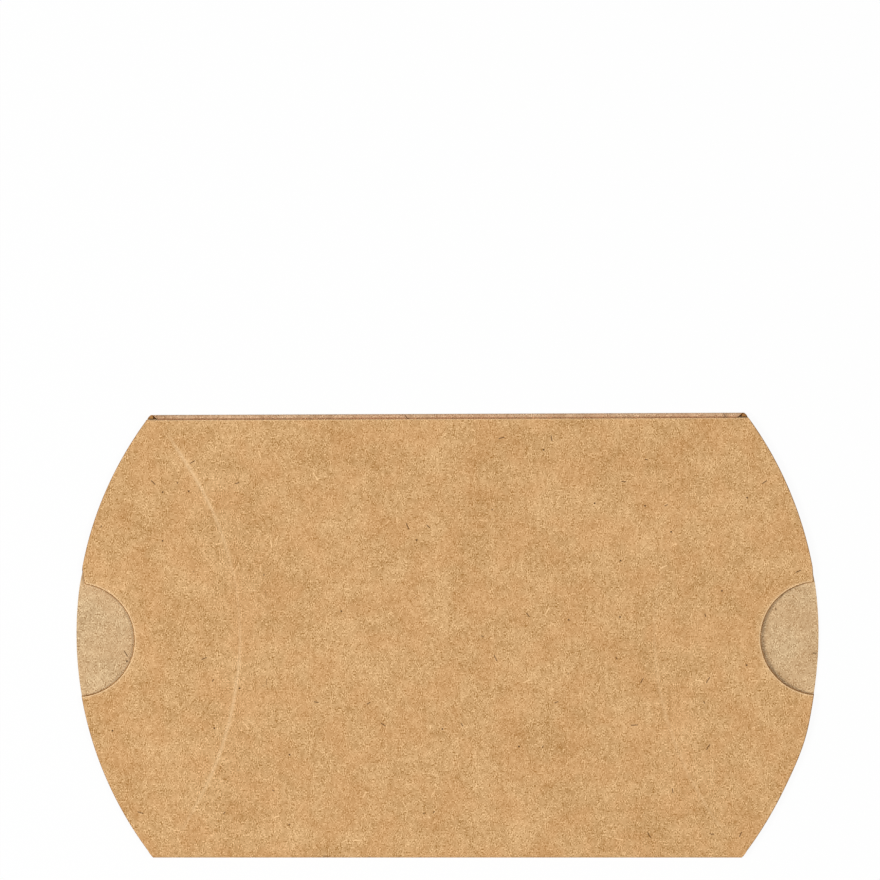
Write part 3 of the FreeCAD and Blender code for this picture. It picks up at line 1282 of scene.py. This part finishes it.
@dataclass
class Panel(CardSheet):
    """The front or the back panel, between its two creases."""

    pressings: dict[End, Pressing]
    columns: int = 30

    @property
    def prefix(self) -> str:
        """The start of the names of its bodies and pieces."""
        return f"{self.layer.word}_panel"

    def drawn(self, stretch: Stretch) -> DrawnSheet:
        """Draw one stretch of the panel.

        Args:
            stretch: Which stretch.

        Returns:
            The drawn stretch.
        """
        edges, line = self.edges, self.outline
        y, tucked = self.with_tuck(stretch, self.levels(stretch))
        half = line.fold_edge(self.layer, y)[:, None]
        stretched = line.slope_stretch(self.layer, y)[:, None]
        near = edges.scores[None, :] + edges.tuck * tucked[:, None]
        widest = edges.scores[-1]
        mitre = (line.mitre * (1 - line.into_ear(y)))[:, None]
        mitred = mitre + near * (1 - mitre / widest)
        plain = (half - widest * stretched) * np.linspace(-1, 1, self.columns + 2)[1:-1]

        def across(from_end: np.ndarray) -> np.ndarray:
            """X of each row's points, of which the outer ones have these distances from its ends."""
            side = half - from_end * stretched
            return np.hstack([-side, plain, side[:, ::-1]])

        x_in, x_out = across(mitred), across(near)
        rows_y = np.broadcast_to(y[:, None], x_out.shape)
        flat_in, flat_out = np.dstack([x_in, rows_y]), np.dstack([x_out, rows_y])
        left, right = self.pressings[End.LEFT], self.pressings[End.RIGHT]
        by_left, by_right = (near - score.inset(y)[:, None] for score in (left, right))
        offset = np.hstack([by_left, np.full_like(plain, edges.BEYOND), by_right[:, ::-1]])
        on_left = np.arange(offset.shape[1]) < offset.shape[1] / 2
        clear = np.where(on_left, left.share(y)[:, None], right.share(y)[:, None])
        pressed = np.where(on_left, left.press(y)[:, None], right.press(y)[:, None])
        fall = pressed * edges.groove(offset)
        worn = np.zeros_like(fall)
        if stretch is Stretch.UPPER_EDGE and self.layer is Layer.FRONT:
            from_cut = (self.top - y)[:, None]
            fall = fall + edges.rounding(from_cut)
            # Painted highlight along the front's raw edge, over its worn bare fibres.
            worn = worn + edges.raw_wear * edges.wear(from_cut)
            flat_out[..., 1] -= edges.raw_bevel * np.clip(1 - from_cut / edges.raw_bevel_run, 0, 1)
        return DrawnSheet(
            name=f"{self.prefix}_{stretch.word}",
            inside=self.lift(flat_in, fall, tucked, False),
            outside=self.lift(flat_out, fall, tucked, True),
            rest=flat_out,
            score=clear * edges.groove(offset),
            worn=worn,
        )


@dataclass
class EndFlap(CardSheet):
    """One end flap, from its crease to its rim, with the thumb notch in the front ones."""

    end: End
    pressing: Pressing
    turned: float
    columns: int = 16
    full_width: float = 3.0 * MM

    @property
    def prefix(self) -> str:
        """The start of the names of its bodies and pieces."""
        return f"{self.layer.word}_{self.end.word}_flap"

    def span(self, stretch: Stretch) -> tuple[float, float]:
        """Give the limits of a stretch, which ends where the flap runs out.

        Args:
            stretch: Which stretch.

        Returns:
            Y of its lower and its upper limit.
        """
        low, high = super().span(stretch)
        if stretch is Stretch.LOWER_EDGE:
            low = self.outline.flap_end(self.layer, -1)
        if stretch is Stretch.UPPER_EDGE:
            high = self.outline.flap_end(self.layer, 1)
        return low, high

    def ribs(self, stretch: Stretch) -> tuple[np.ndarray, np.ndarray, np.ndarray, np.ndarray]:
        """Give the ends of a stretch's ribs, which run from the crease to the rim.

        Args:
            stretch: Which stretch.

        Returns:
            Y of each rib at the crease, its point on the rim, the way out of the card there, and
            whether that is in the notch.
        """
        line = self.outline
        low, high = self.span(stretch)
        if stretch in (Stretch.LOWER_MIDDLE, Stretch.UPPER_MIDDLE) and self.layer is Layer.FRONT:
            upper = stretch is Stretch.UPPER_MIDDLE
            points, ways, notch = line.notched_path(upper, self.turned if upper else 0.0)
            run = np.concatenate([[0], np.cumsum(np.linalg.norm(np.diff(points, axis=0), axis=1))])
            return low + (high - low) * run / run[-1], points, ways, notch
        y = self.levels(stretch)
        x = line.rim(y) if self.layer is Layer.FRONT else line.inner_rim(y)
        points = np.stack([x, y], -1)
        return y, points, line.rim_way(points), np.zeros(len(y))

    def tucked_ribs(self, stretch: Stretch) -> tuple[np.ndarray, ...]:
        """Give a stretch's ribs and the two that reach under the next stretch.

        Args:
            stretch: Which stretch.

        Returns:
            What ribs gives, and for each rib 1 if it is tucked under and 0 if not.
        """
        y, rim, way, notch = self.ribs(stretch)
        y, tucked = self.with_tuck(stretch, y)
        if stretch is not Stretch.UPPER_EDGE:
            next_y, next_rim, next_way, next_notch = self.ribs(Stretch(stretch.value + 1))
            part = self.edges.tuck_length / (next_y[1] - next_y[0])
            reached = next_rim[0] + part * (next_rim[1] - next_rim[0])
            rim = np.concatenate([rim, [rim[-1], reached]])
            way = np.concatenate([way, [way[-1], next_way[0]]])
            notch = np.concatenate([notch, [notch[-1], next_notch[0]]])
        return y, rim, way, notch, tucked

    def drawn(self, stretch: Stretch) -> DrawnSheet:
        """Draw one stretch of the flap.

        Args:
            stretch: Which stretch.

        Returns:
            The drawn stretch.
        """
        edges, line = self.edges, self.outline
        y, rim, way, notch, tucked = self.tucked_ribs(stretch)
        start = np.stack([line.fold_edge(self.layer, y), y], -1)
        stretched = line.slope_stretch(self.layer, y)
        narrow = np.minimum(1, np.linalg.norm(rim - start, axis=1) / self.full_width)
        widest = edges.scores[-1]
        tuck = edges.tuck * tucked[:, None]
        near = edges.scores[None, :] * narrow[:, None] + tuck
        mitre = (line.mitre * narrow)[:, None]
        mitred = mitre + near * (1 - mitre / (widest * narrow[:, None]))
        cuts = edges.cuts[::-1][None, :] * narrow[:, None] + tuck
        along = np.array([1.0, 0.0])
        from_crease = start[:, None, :] + (near * stretched[:, None])[..., None] * along
        from_mitre = start[:, None, :] + (mitred * stretched[:, None])[..., None] * along
        bevel = narrow * (edges.rim_bevel + notch * (edges.notch_bevel - edges.rim_bevel))
        to_rim = rim[:, None, :] - cuts[..., None] * way[:, None, :]
        to_bevel = to_rim - (bevel[:, None] * way)[:, None, :]
        share = np.linspace(0, 1, self.columns + 2)[1:-1][None, :, None]
        plain = from_crease[:, -1:] * (1 - share) + to_bevel[:, :1] * share
        flat_out = np.concatenate([from_crease, plain, to_bevel], axis=1)
        flat_in = np.concatenate([from_mitre, plain, to_rim], axis=1)
        beyond = np.full(plain.shape[:2], edges.BEYOND)
        from_score = near + self.pressing.inset(y)[:, None]
        score_offset = np.hstack([from_score, beyond, np.full_like(cuts, edges.BEYOND)])
        cut_offset = np.hstack([np.full_like(near, edges.BEYOND), beyond, cuts])
        fall = self.pressing.press(y)[:, None] * edges.groove(score_offset)
        fall = fall + edges.rounding(cut_offset)
        flip = np.array([self.end.value, 1.0])
        flat_in, flat_out = flat_in * flip, flat_out * flip
        return DrawnSheet(
            name=f"{self.prefix}_{stretch.word}",
            inside=self.lift(flat_in, fall, tucked, False),
            outside=self.lift(flat_out, fall, tucked, True),
            rest=flat_out,
            score=self.pressing.share(y)[:, None] * edges.groove(score_offset),
            # Painted highlight along the notch's rim, over its worn bare fibres.
            worn=edges.wear(cut_offset) * notch[:, None],
        )


@dataclass
class FoldedEdges:
    """The plain fold along the bottom and the seam fold along the top."""

    outline: Outline
    plain_finishes: CardFinishes
    # The seam fold's inside finish is painted shade, seen in the slots at the corners.
    seam_finishes: CardFinishes
    corner_finishes: CardFinishes
    columns: int = 60
    steps: int = 14
    tab_slant: float = 1.1
    seam_inner_radius: float = 0.025 * MM
    score_y: float = 33.0 * MM
    score_depth: float = 0.27 * MM
    score_width: float = 0.085 * MM
    score_start: float = 32.8 * MM
    corner_gap: float = 0.16 * MM
    corner_slot: float = 0.5 * MM
    corner_start: float = 33.1 * MM
    corner_end: float = 33.5 * MM
    corner_height: float = 1.0 * MM
    corner_points: int = 6

    def tab_side(self, y: np.ndarray) -> np.ndarray:
        """X of the tab's slanted end at each Y of the seam fold."""
        return self.outline.tab_wide_end + self.tab_slant * (y - self.outline.bow.fold_line)

    def arc(self, y: float, z: float, inner: float, angles: np.ndarray) -> np.ndarray:
        """Give the profile of a bend.

        Args:
            y: Y of the bend's centre.
            z: Z of the bend's centre.
            inner: The radius of the card's inside.
            angles: Where round the centre the points lie.

        Returns:
            Y and Z of each inside point, and Y and Z of the outside point that goes with it.
        """
        centre = np.array([y, z])
        way = np.stack([np.cos(angles), np.sin(angles)], -1)
        return np.hstack([centre + inner * way, centre + (inner + self.outline.card) * way])

    def swept(
        self, name: str, profile: np.ndarray, half: np.ndarray, start: float, sense: int
    ) -> DrawnSheet:
        """Draw a fold's profile along the box.

        Args:
            name: The piece's name.
            profile: Y and Z of each inside point, and Y and Z of the outside point.
            half: Half the length of each point's line.
            start: Where the pattern starts, as Y on the flat card.
            sense: Whether the pattern runs up or down from there.

        Returns:
            The drawn fold.
        """
        x = half[:, None] * np.linspace(-1, 1, self.columns + 1)
        even = np.ones_like(x)
        steps = np.linalg.norm(np.diff(profile[:, 2:], axis=0), axis=1)
        run = start + sense * np.concatenate([[0], np.cumsum(steps)])

        def placed(side: np.ndarray) -> np.ndarray:
            """Points of one side of the card."""
            flat = np.dstack([x, side[:, :1] * even])
            return np.dstack([self.outline.folded(flat), side[:, 1:] * even])

        rest = np.dstack([x, run[:, None] * even])
        return DrawnSheet(name, placed(profile[:, :2]), placed(profile[:, 2:]), rest)

    def plain_fold(self, stock: CardStock) -> bpy.types.Object:
        """Build the fold along the bottom, which opens as the box pops up.

        Args:
            stock: What gives it its thickness.

        Returns:
            The piece.
        """
        line = self.outline
        y0, middle = -line.bow.fold_line, line.stack / 2
        angles = np.linspace(math.pi / 2, 3 * math.pi / 2, 2 * self.steps + 1)
        profile = self.arc(y0, middle, middle - line.card, angles)
        sheet = self.swept("bottom_fold_card", profile, line.rim(profile[:, 2]), y0, -1)
        piece = stock.cut(sheet, self.plain_finishes)
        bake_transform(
            piece,
            "back_panel_band_1",
            "front_panel_band_1",
            start=(0, y0, 0),
            end=(0, y0, line.stack),
        )
        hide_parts("bottom_fold")
        return piece

    def seam_fold(self, stock: CardStock) -> list[bpy.types.Object]:
        """Build the two halves of the fold between the back panel and the glue tab.

        Args:
            stock: What gives them their thickness.

        Returns:
            The half on the back panel and the half on the tab.
        """
        line, inner = self.outline, self.seam_inner_radius
        outer = inner + line.card
        y0 = line.bow.fold_line
        y1 = y0 + line.stack / 2 - outer
        pieces = []
        for name, body, sign in (
            ("seam_fold_back_half", "back_panel_band_5", -1),
            ("seam_fold_tab_half", "front_panel_band_5", 1),
        ):
            on_tab = sign > 0
            y = np.linspace(self.score_start if on_tab else y0, y1, self.steps + 1)[:-1]
            dip = self.score_depth * bell(y - self.score_y, self.score_width) if on_tab else 0.0
            under = np.full_like(y, outer + sign * inner)
            over = np.full_like(y, outer + sign * outer) - dip
            bend = self.arc(y1, outer, inner, np.linspace(sign * math.pi / 2, 0, self.steps + 1))
            profile = np.concatenate([np.stack([y, under, y, over], -1), bend])
            half = line.rim(profile[:, 2])
            if on_tab:
                half = np.minimum(half, self.tab_side(profile[:, 2]))
            # Both halves take the seam finishes, whose inside is painted shade.
            piece = stock.cut(self.swept(name, profile, half, y0, -sign), self.seam_finishes)
            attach(piece, body)
            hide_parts("top_fold")
            pieces.append(piece)
        return pieces

    def seam_corner(self, stock: CardStock, end: End) -> bpy.types.Object:
        """Build the back panel's corner, which stands up beside the slanted end of the tab.

        Args:
            stock: What gives it its thickness.
            end: Which end of the box.

        Returns:
            The piece.
        """
        line = self.outline
        y = np.linspace(self.corner_start, self.corner_end, self.corner_points)[:, None]
        low = (self.corner_end - y) / (self.corner_end - self.corner_start)
        near = self.tab_side(y) + self.corner_gap + (self.corner_slot - self.corner_gap) * low
        share = np.linspace(0, 1, self.corner_points)[None, :]
        x = end.value * (near + (line.rim(y) - near) * share)
        flat = np.dstack([x, np.broadcast_to(y, x.shape)])
        under = self.seam_inner_radius + line.card
        sheet = line.level_sheet(f"seam_corner_{end.word}", flat, under, self.corner_height)
        piece = stock.cut(sheet, self.corner_finishes)
        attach(piece, "back_panel_band_5")
        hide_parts("top_fold")
        return piece


@dataclass
class GlueSeam:
    """The tapered glue tab under the front panel, and the dried glue on it."""

    outline: Outline
    edges: CardEdges
    tab_finishes: CardFinishes
    glue_finishes: CardFinishes
    tab_columns: int = 40
    tab_rows: int = 22
    tab_end: float = 32.8 * MM
    tab_narrow_end: float = 30.5 * MM
    glue_columns: int = 180
    glue_rows: int = 14
    ripple: float = 0.5 * MM
    ripple_length: float = 2.3 * MM
    beat: float = 2.7
    beat_phase: float = 1.0
    end_cut: float = 0.2 * MM
    least_end_share: float = 0.05

    def bend_with_front(self, piece: bpy.types.Object, node: str) -> bpy.types.Object:
        """Let a piece bend as the front panel above it does.

        Args:
            piece: The piece.
            node: The CAD node that it stands for.

        Returns:
            The same piece.
        """
        start, end = self.outline.bow.turn(Stretch.UPPER_EDGE)
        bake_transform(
            piece,
            "front_panel_band_4",
            "front_panel_band_5",
            start=(0, start, 0),
            end=(0, end, 0),
        )
        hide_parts(node)
        return piece

    def tab(self, stock: CardStock) -> bpy.types.Object:
        """Build the glue tab.

        Args:
            stock: What gives it its thickness.

        Returns:
            The piece.
        """
        low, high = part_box("glue_tab")
        cuts, line = self.edges.cuts, self.outline
        inner_y = np.linspace(low.y + cuts[-1], self.tab_end, self.tab_rows)
        y = np.concatenate([low.y + cuts[:-1], inner_y])[:, None]
        widening = (line.tab_wide_end - self.tab_narrow_end) / (high.y - low.y)
        half = self.tab_narrow_end + widening * (y - low.y)
        inner_x = (half - cuts[-1]) * np.linspace(-1, 1, self.tab_columns)
        x = np.hstack([cuts[:-1] - half, inner_x, (half - cuts[:-1])[:, ::-1]])
        from_cut = np.minimum(half - np.abs(x), y - low.y)
        flat = np.dstack([x, np.broadcast_to(y, x.shape)])
        over = high.z - self.edges.rounding(from_cut)
        sheet = line.level_sheet("glue_tab_card", flat, low.z, over, self.edges.wear(from_cut))
        return self.bend_with_front(stock.cut(sheet, self.tab_finishes), "glue_tab")

    def glue(self, stock: CardStock) -> bpy.types.Object:
        """Build the film of dried glue, with the rippled outline that pressing leaves.

        Args:
            stock: What gives it its thickness.

        Returns:
            The piece.
        """
        low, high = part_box("glue_line")
        x = np.linspace(low.x, high.x, self.glue_columns)
        middle, half = (low.y + high.y) / 2, (high.y - low.y) / 2
        slow = x / (self.beat * self.ripple_length) + self.beat_phase
        wave = np.sin(x / self.ripple_length) * np.sin(slow)
        from_end = high.x - np.abs(x) + self.end_cut
        round_end = np.sqrt(np.clip(from_end / half, self.least_end_share, 1))
        wide = (half - self.ripple + self.ripple * wave) * round_end
        y = middle + wide * np.linspace(-1, 1, self.glue_rows)[:, None]
        flat = np.dstack([np.broadcast_to(x, y.shape), y])
        sheet = self.outline.level_sheet("glue_film", flat, low.z, high.z)
        return self.bend_with_front(stock.cut(sheet, self.glue_finishes), "glue_line")


@dataclass(frozen=True)
class Lamp:
    """A round soft lamp that shines on the box."""

    name: str
    share: float
    place: tuple[float, float, float]
    size: float

    def build(self) -> None:
        """Hang the lamp, with the power that gives its share of the light on the floor."""
        distance = float(np.linalg.norm(self.place))
        data = bpy.data.lights.new(self.name, "AREA")
        data.shape, data.size = "DISK", self.size
        data.energy = self.share * math.pi**2 * distance**3 / self.place[2]
        lamp = bpy.data.objects.new(self.name, data)
        lamp.location = self.place
        turn = math.atan2(self.place[1], self.place[0]) + math.pi / 2
        lamp.rotation_euler = (math.acos(self.place[2] / distance), 0.0, turn)
        bpy.context.scene.collection.objects.link(lamp)


@dataclass
class Studio:
    """The floor, the soft light and the camera over the box."""

    lamps: tuple[Lamp, ...]
    camera_height: float
    picture_width: float = 133.3 * MM
    camera_x: float = -1.14 * MM
    camera_y: float = 29.68 * MM
    lens: float = 150.0
    sensor: float = 36.0
    floor_size: float = 6.0
    floor_gap: float = 0.02 * MM
    floor_colour: Colour = (246, 246, 245)
    floor_roughness: float = 0.9
    floor_specular: float = 0.1
    floor_white: float = 0.93
    fill: float = 0.3
    clip: tuple[float, float] = (0.01, 20.0)

    def floor(self) -> None:
        """Lay the pale floor, which the camera sees almost white and which keeps the box's shadow."""
        half = self.floor_size / 2
        signs = ((-1, -1), (1, -1), (1, 1), (-1, 1))
        mesh = bpy.data.meshes.new("studio_floor")
        corners = [(half * x, half * y, -self.floor_gap) for x, y in signs]
        mesh.from_pydata(corners, [], [(0, 1, 2, 3)])
        paint = NodeMaterial("pale_floor")
        make = paint.make
        paint.feed(
            {
                "Base Color": linear(self.floor_colour),
                "Roughness": self.floor_roughness,
                "Specular IOR Level": self.floor_specular,
            }
        )
        grey = Socket(make, paint.shader.outputs["BSDF"])
        white = make.node("ShaderNodeEmission", None, {"Strength": 1.0})
        path = make.node("ShaderNodeLightPath", None, None, "Is Camera Ray")
        both = make.mix_shaders(path * self.floor_white, grey, white)
        make.put(make.tree.nodes["Material Output"].inputs["Surface"], both)
        mesh.materials.append(paint.material)
        floor = bpy.data.objects.new("studio_floor", mesh)
        bpy.context.scene.collection.objects.link(floor)

    def light(self) -> None:
        """Set an even white surround and the lamps."""
        world = bpy.data.worlds.new("studio_white")
        bpy.context.scene.world = world
        world.use_nodes = True
        make = NodeMaker(world.node_tree)
        ground = world.node_tree.nodes["Background"]
        even = {"Color": (1.0, 1.0, 1.0, 1.0), "Strength": self.fill}
        for name, value in even.items():
            make.put(ground.inputs[name], value)
        path = make.node("ShaderNodeLightPath", None, None, "Is Camera Ray")
        seen = path + path.other("Is Glossy Ray") + path.other("Is Transmission Ray")
        white = make.node("ShaderNodeBackground", None, {**even, "Strength": 1.0})
        grey = Socket(make, ground.outputs["Background"])
        both = make.mix_shaders(seen, grey, white)
        make.put(make.tree.nodes["World Output"].inputs["Surface"], both)
        for lamp in self.lamps:
            lamp.build()

    def camera(self) -> None:
        """Hang the camera straight over the box, as the photograph was taken."""
        data = bpy.data.cameras.new("camera")
        data.sensor_width, data.lens = self.sensor, self.lens
        data.clip_start, data.clip_end = self.clip
        camera = bpy.data.objects.new("camera", data)
        distance = self.picture_width * self.lens / self.sensor
        camera.location = (self.camera_x, self.camera_y, self.camera_height + distance)
        bpy.context.scene.collection.objects.link(camera)
        bpy.context.scene.camera = camera

    def build(self) -> None:
        """Set up the floor, the light, the camera and the plain view transform."""
        self.floor()
        self.light()
        self.camera()
        bpy.context.scene.view_settings.view_transform = "Standard"


PRESSINGS = {
    (Layer.FRONT, End.LEFT): Pressing(
        depth=0.06 * MM,
        levels=(-30, -26, -22, -18, -12, -6, -1, 3, 10, 14, 20, 30),
        clearness=(0.38, 0.45, 0.72, 0.85, 0.8, 0.85, 0.5, 0.3, 0.32, 0.53, 0.9, 1.0),
        drift=0.05,
    ),
    (Layer.FRONT, End.RIGHT): Pressing(
        depth=0.03 * MM,
        levels=(-30, -20, -8, 4, 14, 30),
        clearness=(0.34, 0.36, 0.3, 0.2, 0.1, 0.1),
    ),
    (Layer.BACK, End.LEFT): Pressing(
        depth=0.05 * MM, levels=(-30, -9, 5, 30), clearness=(0.6, 0.3, 0.6, 0.6)
    ),
    (Layer.BACK, End.RIGHT): Pressing(
        depth=0.05 * MM, levels=(-30, 0, 12, 30), clearness=(0.6, 0.6, 0.3, 0.6)
    ),
}
TURNED = {End.LEFT: 0.85 * MM, End.RIGHT: 0.25 * MM}
NOTCH_Y = {End.LEFT: -0.62 * MM, End.RIGHT: -0.35 * MM}
FULLNESS = {End.LEFT: 0.0, End.RIGHT: 0.28 * MM}
LAMPS = (
    Lamp("key_lamp", share=0.46, place=(-0.7, -0.1, 0.86), size=0.45),
    Lamp("side_lamp", share=0.26, place=(0.58, -0.02, 0.98), size=0.45),
)


def build_box() -> list[bpy.types.Object]:
    """Build every piece of the box.

    Returns:
        The pieces.
    """
    outside = KraftFace("kraft_outside").material()
    inside = KraftFace(
        "kraft_inside", dark=(159, 120, 76), pale=(255, 225, 179), warm=(211, 164, 116), shift=71.0
    ).material()
    stretched = KraftFace(
        "kraft_stretched", dark=(151, 110, 70), pale=(255, 217, 177), warm=(211, 156, 118), shift=29.0
    ).material()
    # Painted shade: a near-black card colour for the inside of the seam fold. It shows in the slots beside
    # the tab's slanted ends, in place of their shadow.
    painted_shade_inside = KraftFace(
        "kraft_crushed", dark=(62, 38, 14), pale=(120, 84, 48), warm=(92, 58, 30), shift=53.0
    ).material()
    cut = CutEdge().material()
    glue = DriedGlue().material()
    card = CardFinishes(outside, inside, cut)
    seam = CardFinishes(stretched, inside, cut)
    # The seam fold's inside carries the painted shade.
    seam_painted_shade = CardFinishes(stretched, painted_shade_inside, cut)
    corner = CardFinishes(cut, inside, cut)
    film = CardFinishes(glue, glue, glue)

    outline = Outline(bow=Bow.from_frame(), tip=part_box("back_right_flap_band_3")[1].x)
    edges = CardEdges()
    stock = CardStock()
    pieces: list[bpy.types.Object] = []
    for layer in Layer:
        scores = {end: PRESSINGS[layer, end] for end in End}
        pieces += Panel(outline, edges, layer, card, scores).build(stock)
        for end in End:
            notched = replace(outline, notch_y=NOTCH_Y[end], fullness=FULLNESS[end])
            pieces += EndFlap(notched, edges, layer, card, end, scores[end], TURNED[end]).build(stock)
    folds = FoldedEdges(outline, card, seam_painted_shade, corner)
    pieces.append(folds.plain_fold(stock))
    pieces += folds.seam_fold(stock)
    pieces += [folds.seam_corner(stock, end) for end in End]
    gluing = GlueSeam(outline, edges, seam, film)
    pieces.append(gluing.tab(stock))
    pieces.append(gluing.glue(stock))
    return pieces


def main() -> None:
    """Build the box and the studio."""
    logging.basicConfig(level=logging.INFO, format="%(name)s: %(message)s")
    for piece in build_box():
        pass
    Studio(LAMPS, camera_height=CAD_BOX[1][2]).build()


if __name__ == "__main__":
    main()
